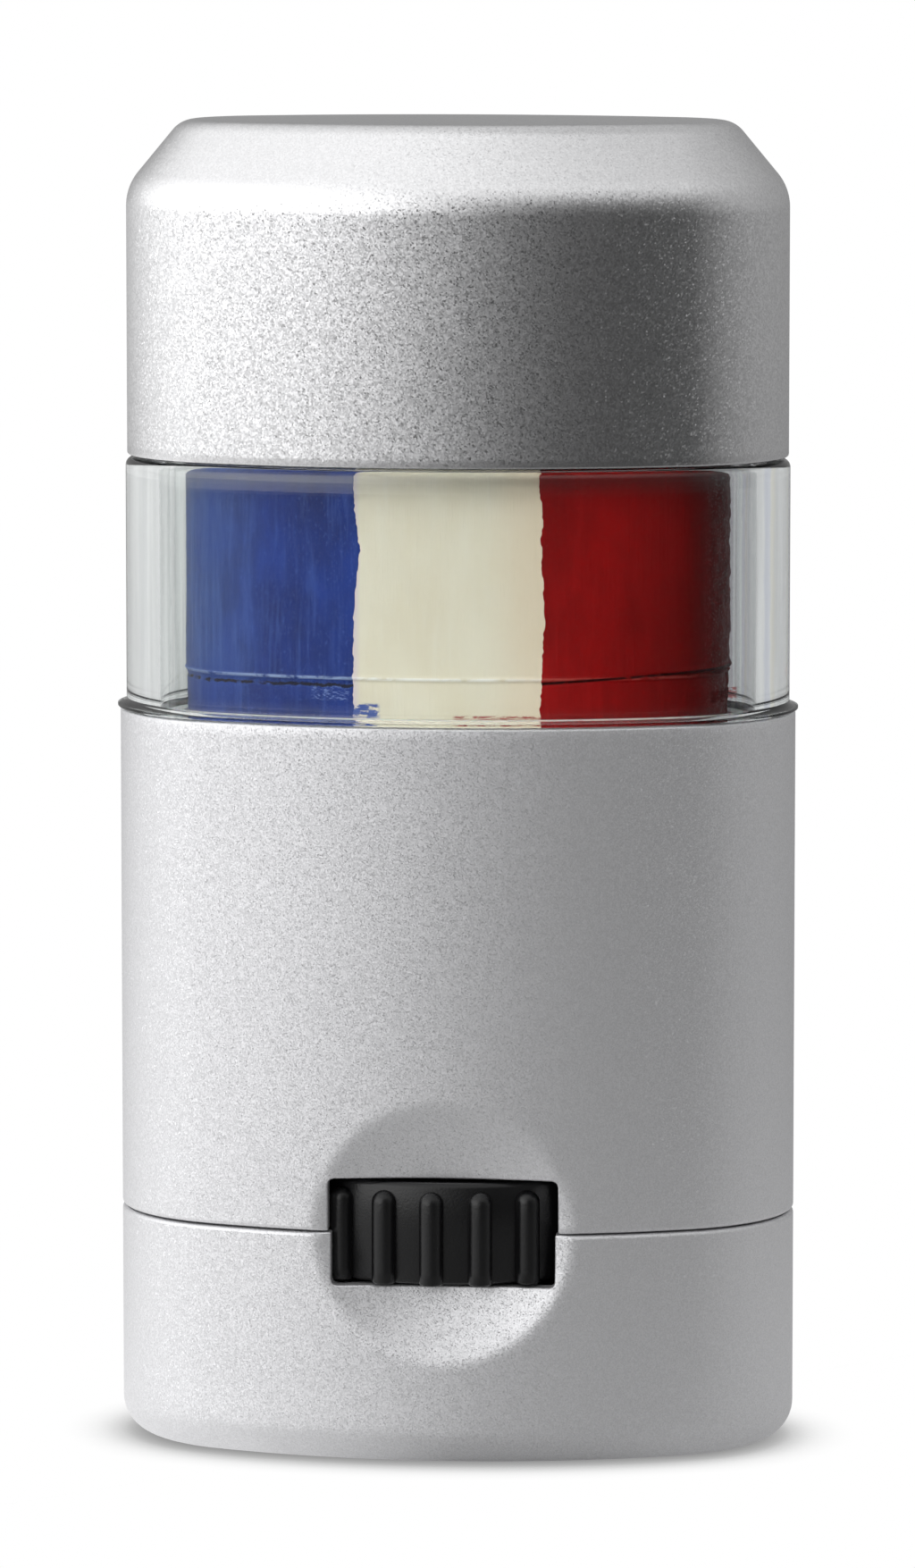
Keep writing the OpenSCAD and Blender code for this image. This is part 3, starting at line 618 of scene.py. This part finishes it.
sleeve = {"low": 11.54, "top": 36.4, "wall": 1.0, "edge": 0.12, "ledge": 1.9}
gridZ = [sleeve["low"], sleeve["low"] + sleeve["edge"]] + between(sleeve["low"] + 0.4, window["high"] - window["corner"], 7)
gridZ += [window["high"] - window["corner"] * 0.45, window["high"]]
notchRows = len(gridZ)
gridZ += between(window["high"] + 0.3, 18.6, 15) + between(19.4, sleeve["top"] - 0.6, 18)
topZ = sleeve["top"]
outer = [(sleeve["edge"] if n == 0 else 0, z) for n, z in enumerate(gridZ)]
outer += arc(sleeve["edge"], topZ - sleeve["edge"], sleeve["edge"], 180, 90, 3)
inner = [(sleeve["wall"], z) for z in gridZ]
profile = outer + [(sleeve["wall"] - 0.1, topZ), (sleeve["wall"], topZ - 0.1)] + inner[::-1]
size = len(profile)
bm = notched("sleeve", profile, (list(range(notchRows)), [size - 1 - n for n in range(notchRows)]),
             window["halfSleeve"], window["high"], 1, True, silverCase)
bodyShell = bevel(meshObject("body_sleeve", bm, silverCase, 40), window["bevel"])
finish(bodyShell, "case", "silver_case", "body_shell")
print("sleeve made")

base = {"top": 11.46, "wall": 1.0, "floor": 1.2, "foot": 1.8, "edge": 0.12}
wallZ = [base["top"], base["top"] - base["edge"]] + between(base["top"] - 0.4, window["low"] + window["corner"], 6)
wallZ += [window["low"] + window["corner"] * 0.45, window["low"]]
notchRows = len(wallZ)
wallZ += between(window["low"] - 0.3, 4.6, 13) + between(4.0, base["foot"] + 0.7, 4)
outer = [(base["edge"] if n == 0 else 0, z) for n, z in enumerate(wallZ)]
inner = [(base["wall"], z) for z in wallZ]
foot = arc(base["foot"], base["foot"], base["foot"], 180, 270, 14)
innerFoot = arc(base["wall"] + 1.4, base["floor"] + 1.4, 1.4, 180, 270, 6)
profile = [(6.5, 0)] + foot[::-1] + outer[::-1] + inner + innerFoot + [(6.5, base["floor"])]
first = 1 + len(foot)
outerRows = [first + len(outer) - 1 - n for n in range(notchRows)]
innerRows = [first + len(outer) + n for n in range(notchRows)]
bm = notched("base", profile, (outerRows, innerRows), window["halfBase"], window["low"], -1, False, silverCase)
baseShell = bevel(meshObject("base_shell", bm, silverCase, 40), window["bevel"])
finish(baseShell, "case", "silver_case", "base_cover")
print("base made")

# ---------------------------------------------------------------- thumbwheel
wheel = {
    "low": 9.0, "high": 14.0, "radius": 9.1, "ribs": 24, "ribReach": 9.8, "ribRadius": 0.6, "ribTop": 13.6, "phase": 11.6,
    "rim": 1.5, "web": 1.2, "hub": 3.2, "hubLow": 8.7, "hubTop": 14.8, "pin": 2.0, "pinLow": 2.3, "neck": 2.52, "neckTop": 16.1,
    "bar": 2.2, "throw": 0.4, "pitch": 3.0, "screwTop": 30.0,
}


def lathe(bm, profile, steps=96):
    rings = []
    for r, z in profile:
        rings.append([bm.verts.new((r * mm * math.sin(2 * math.pi * i / steps), -r * mm * math.cos(2 * math.pi * i / steps), z * mm))
                      for i in range(steps)])
    for low, high in zip(rings, rings[1:]):
        for i in range(steps):
            k = (i + 1) % steps
            bm.faces.new((low[i], low[k], high[k], high[i]))
    bm.faces.new(list(reversed(rings[0])))
    bm.faces.new(rings[-1])


bm = bmesh.new()
w, webLow, webHigh = wheel, 11.5 - wheel["web"] / 2, 11.5 + wheel["web"] / 2
rimIn = w["radius"] - w["rim"]
lathe(bm, [(w["pin"] - 0.2, w["pinLow"]), (w["pin"], w["pinLow"] + 0.2), (w["pin"], w["hubLow"]), (w["hub"], w["hubLow"]), (w["hub"], webLow),
           (rimIn, webLow), (rimIn, w["low"] + 0.15), (rimIn + 0.15, w["low"]), (w["radius"] - 0.15, w["low"]), (w["radius"], w["low"] + 0.15),
           (w["radius"], w["high"] - 0.25), (w["radius"] - 0.07, w["high"] - 0.07), (w["radius"] - 0.25, w["high"]), (rimIn + 0.15, w["high"]),
           (rimIn, w["high"] - 0.15), (rimIn, webHigh), (w["hub"], webHigh), (w["hub"], w["hubTop"]), (w["neck"], w["hubTop"]), (w["neck"], w["neckTop"])], 144)
turns = (w["screwTop"] - w["neckTop"]) / w["pitch"]
steps, rings = int(turns * 28), []
for s in range(steps + 1):
    z = w["neckTop"] + (w["screwTop"] - w["neckTop"]) * s / steps
    a = 2 * math.pi * (z - w["neckTop"]) / w["pitch"]
    cx, cy = w["throw"] * math.cos(a), w["throw"] * math.sin(a)
    rings.append([bm.verts.new(((cx + w["bar"] * math.cos(t)) * mm, (cy + w["bar"] * math.sin(t)) * mm, z * mm))
                  for t in between(0, 2 * math.pi, 28)[:-1]])
for low, high in zip(rings, rings[1:]):
    for i in range(28):
        k = (i + 1) % 28
        bm.faces.new((low[i], low[k], high[k], high[i]))
bm.faces.new(list(reversed(rings[0])))
bm.faces.new(rings[-1])
wheelBody = meshObject("wheel_body", bm, blackPlastic, 40)

# one rib: a round bar with a domed top
bm = bmesh.new()
domeZ = w["ribTop"] - w["ribRadius"]
lathe(bm, [(w["ribRadius"] - 0.1, 9.0), (w["ribRadius"], 9.1)] + [(w["ribRadius"], z) for z in between(9.6, domeZ, 4)]
      + [(w["ribRadius"] * math.cos(math.radians(t)), domeZ + w["ribRadius"] * math.sin(math.radians(t))) for t in (15, 30, 45, 60, 75, 87)], 20)
ribSource = meshObject("wheel_ribs", bm, blackPlastic, 60)


def ringOfRibs():
    """Copies of the piece on a circle, each turned to face outwards."""
    tree = bpy.data.node_groups.new("ribs_round_the_wheel", "GeometryNodeTree")
    face = tree.interface
    face.new_socket("Geometry", in_out="INPUT", socket_type="NodeSocketGeometry")
    for name, kind, value in (("Rib count", "NodeSocketInt", w["ribs"]), ("Rib circle", "NodeSocketFloat", 0.009), ("Phase", "NodeSocketFloat", 0.0)):
        face.new_socket(name, in_out="INPUT", socket_type=kind).default_value = value
    face.new_socket("Material", in_out="INPUT", socket_type="NodeSocketMaterial")
    face.new_socket("Geometry", in_out="OUTPUT", socket_type="NodeSocketGeometry")
    given = addNode(tree, "NodeGroupInput")
    circle = addNode(tree, "GeometryNodeMeshCircle", {"Vertices": given.outputs["Rib count"], "Radius": given.outputs["Rib circle"]})
    index = addNode(tree, "GeometryNodeInputIndex").outputs[0]
    step = mathNode(tree, "DIVIDE", 2 * math.pi, given.outputs["Rib count"])
    angle = mathNode(tree, "MULTIPLY", index, step)
    facing = addNode(tree, "ShaderNodeCombineXYZ", {2: angle})
    placed = addNode(tree, "GeometryNodeInstanceOnPoints", {"Points": circle.outputs[0], "Instance": given.outputs["Geometry"], "Rotation": facing.outputs[0]})
    spin = addNode(tree, "ShaderNodeCombineXYZ", {2: given.outputs["Phase"]})
    real = addNode(tree, "GeometryNodeRealizeInstances", {0: placed.outputs[0]})
    turned = addNode(tree, "GeometryNodeTransform", {"Geometry": real.outputs[0], "Rotation": spin.outputs[0]})
    real = addNode(tree, "GeometryNodeRealizeInstances", {0: turned.outputs[0]})
    colored = addNode(tree, "GeometryNodeSetMaterial", {"Geometry": real.outputs[0], "Material": given.outputs["Material"]})
    addNode(tree, "NodeGroupOutput", {0: colored.outputs[0]})
    return tree


def applyNodes(piece, tree, **inputs):
    made = piece.modifiers.new("nodes", "NODES")
    made.node_group = tree
    for item in tree.interface.items_tree:
        if item.item_type == "SOCKET" and item.in_out == "INPUT" and item.name.replace(" ", "") in inputs:
            made[item.identifier] = inputs[item.name.replace(" ", "")]
    bpy.context.view_layer.update()
    data = bpy.data.meshes.new_from_object(piece.evaluated_get(bpy.context.evaluated_depsgraph_get()))
    piece.modifiers.remove(made)
    piece.data = data
    return piece


applyNodes(ribSource, ringOfRibs(), Ribcount=w["ribs"], Ribcircle=(w["ribReach"] - w["ribRadius"]) * mm,
           Phase=math.radians(w["phase"] - 90), Material=blackPlastic)
bm = bmesh.new()
bm.from_mesh(wheelBody.data)
bm.from_mesh(ribSource.data)
bpy.data.objects.remove(wheelBody)
bpy.data.objects.remove(ribSource)
thumbWheel = meshObject("thumb_wheel", bm, blackPlastic, 50)
finish(thumbWheel, "wheel", "black_plastic", "thumbwheel")
print("thumbwheel made")

# ---------------------------------------------------------------- paint
paint = {"low": 26.65, "top": 50.2, "inset": 3.25, "round": 1.6, "ridge": 38.5, "split": 4.5, "cup": 29.05, "footInset": 3.75}


def bumpy(x, y, z, size, seed=0.0):
    return noise.noise(Vector((x / size + seed, y / size - seed, z / size + 3.1 * seed)))


def paintInset(z):
    """Inset of the block's side at a height: held by the cup below, rounded off at the top, with the mould line's ridge."""
    if z < paint["cup"]:
        return paint["footInset"]
    if z > paint["top"] - paint["round"]:
        up = min(1, (z - paint["top"] + paint["round"]) / paint["round"])
        return paint["inset"] + paint["round"] * (1 - math.sqrt(max(0, 1 - up * up)))
    ridge = math.exp(-((z - paint["ridge"]) / 0.09) ** 2)
    return paint["inset"] + (0.05 if z < paint["ridge"] else 0) - 0.1 * ridge


def joinLine(side, z):
    """Where blue meets cream (side -1) and cream meets red (side 1), wandering a little as cast."""
    wander = 0.14 * bumpy(0, 0, z, 4, 7.3 + side) + 0.1 * bumpy(0, 0, z, 0.7, 2.1 + side) + 0.07 * bumpy(0, 0, z, 0.22, side)
    trend = 0.28 * math.exp(-((z - 45) / 1.8) ** 2) if side < 0 else -0.15 * math.exp(-((z - 48) / 0.7) ** 2) + 0.14 * math.exp(-((z - 42.2) / 2) ** 2)
    return side * paint["split"] + (wander + trend if z > paint["cup"] else 0)


def along(a, b, steps):
    return [(a[0] + (b[0] - a[0]) * i / steps, a[1] + (b[1] - a[1]) * i / steps) for i in range(1, steps)]


def stripRing(z, left, right):
    """Outline of one strip at a height, from above: along the front from left to right, then the back. left and right
    name the join (-1 or 1) that the strip ends at, or None where it runs round the block's end."""
    inset = paintInset(z)
    start = -math.pi / 2 if left is None else math.asin(joinLine(left, z) / (faceRadius - inset))
    stop = math.pi / 2 if right is None else math.asin(joinLine(right, z) / (faceRadius - inset))
    if left is None:
        turns = between(start, -meetAngle, 26) + between(-meetAngle, stop, 44)[1:]
    elif right is None:
        turns = between(start, meetAngle, 44) + between(meetAngle, stop, 26)[1:]
    else:
        turns = between(start, stop, 70)
    front = [ovalPoint(a, inset) for a in turns]
    back = [(x, -y) for x, y in reversed(front)]
    points = front[:]
    if right is None:
        back = back[1:]
    else:
        points += along(front[-1], back[0], 18)
    points += back
    if left is None:
        return points[:-1]
    return points + along(back[-1], front[0], 18)


def marks(x, z, strip):
    """Small casting marks on the front: the broken crack under the mould line and the chipped ledge at the right."""
    push = 0.0
    if strip < 0:
        crack = 38.22 + 0.05 * bumpy(x, 0, 0, 0.9, 4.4)
        push -= 0.09 * math.exp(-((z - crack) / 0.07) ** 2) * min(1, max(0, 1.6 * bumpy(x, 0, 0, 0.7, 9.1) + 0.75))
    if strip > 0:
        crack = 38.3 + 0.06 * (x - 4.5) + 0.04 * bumpy(x, 0, 0, 0.8, 3.2)
        if x < 10.4:
            push -= 0.10 * math.exp(-((z - crack) / 0.07) ** 2)
        else:
            under = 38.66 + 0.04 * bumpy(x, 0, 0, 0.6, 5.5)
            push += 0.1 * math.exp(-((z - under - 0.16) / 0.14) ** 2) - (0.17 if z < under else 0)
            push -= 0.12 * math.exp(-((z - under + 0.06) / 0.07) ** 2)
    return push


def paintStrip(name, left, right, strip, material, seed):
    levels = [paint["low"], paint["cup"] - 0.02, paint["cup"]] + between(paint["cup"] + 0.4, 36.2, 8)
    levels += between(36.3, 37.6, 13) + between(37.68, 39.3, 24) + between(39.4, paint["top"] - paint["round"], 92)
    levels += [paint["top"] - paint["round"] * (1 - math.sin(math.radians(t))) for t in (12, 24, 36, 48, 60, 72, 82, 88)]
    bm = bmesh.new()
    rings = []
    for z in levels:
        ring = []
        for x, y in stripRing(z, left, right):
            out = Vector((x, y, 0)).normalized() if z > paint["cup"] else Vector()
            push = 0.035 * bumpy(x, y, z * 0.5, 2.2, seed) + 0.012 * bumpy(x, y, z, 0.5, seed) - 0.02
            if y < 0:
                push += marks(x, z, strip)
            if strip > 0 and x > 11.5:
                push += min(1, x - 11.5) * (0.09 * bumpy(x, y, z, 0.6, 6.1) + 0.06 * bumpy(x, y, z, 0.2, 1.7))
            ring.append(bm.verts.new(((x + out.x * push) * mm, (y + out.y * push) * mm, z * mm)))
        rings.append(ring)
    count = len(rings[0])
    for low, high in zip(rings, rings[1:]):
        for i in range(count):
            k = (i + 1) % count
            bm.faces.new((low[i], low[k], high[k], high[i]))
    bm.faces.new(list(reversed(rings[0])))
    bm.faces.new(rings[-1])
    return meshObject(name, bm, material, 60)


finish(paintStrip("paint_strip_blue", None, -1, -1, bluePaint, 1.0), "stick", "blue_paint", "paint_blue")
finish(paintStrip("paint_strip_cream", -1, 1, 0, creamPaint, 1.0), "stick", "cream_paint", "paint_white")
finish(paintStrip("paint_strip_red", 1, None, 1, redPaint, 1.0), "stick", "red_paint", "paint_red")
print("paint strips made")

for node in ("inner_barrel", "carrier"):
    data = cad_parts[node].data
    data.materials.clear()
    data.materials.append(naturalPlastic)
